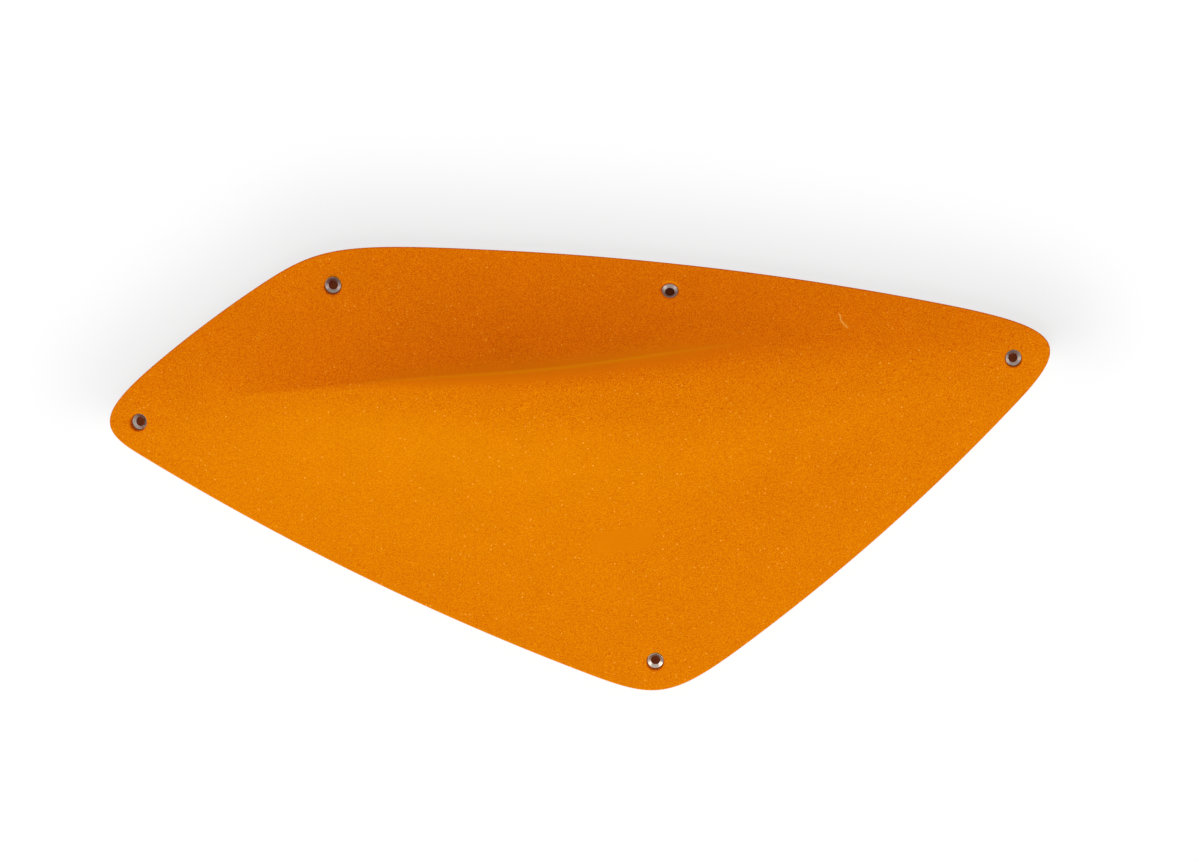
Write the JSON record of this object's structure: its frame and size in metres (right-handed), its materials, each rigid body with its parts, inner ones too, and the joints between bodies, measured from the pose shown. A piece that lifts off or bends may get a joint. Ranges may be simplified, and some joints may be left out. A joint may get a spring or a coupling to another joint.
{
  "type": "macro climbing hold",
  "caption": "Large, low, textured climbing hold: a rounded lip over a hollow scoop, steel screw inserts near the corners, and a hollow back on plywood ribs.",
  "frame": {"origin": "middle of the hold's bounding box, on the wall plane", "axes": "+X along the hold's length, to the right as seen from the front; +Y up its width, towards the scoop; +Z out of the wall"},
  "size_m": [0.6, 0.283, 0.0498],
  "materials": {
    "gelcoat_shell": "sand-textured matt orange gelcoat on a glass-fibre laminate",
    "steel_insert": "turned and zinc plated",
    "plywood": "sawn birch plywood, unfinished"
  },
  "bodies": {
    "root": {"shell": "gelcoat_shell", "screw_insert_left": "steel_insert", "screw_insert_upper_left": "steel_insert", "screw_insert_top": "steel_insert", "screw_insert_right": "steel_insert", "screw_insert_bottom": "steel_insert", "screw_block_left": "plywood", "screw_block_upper_left": "plywood", "screw_block_top": "plywood", "screw_block_right": "plywood", "screw_block_bottom": "plywood", "spine_rib": "plywood", "cross_rib_1": "plywood", "cross_rib_2": "plywood", "cross_rib_3": "plywood", "cross_rib_4": "plywood", "cross_rib_5": "plywood"}
  },
  "joints": []
}
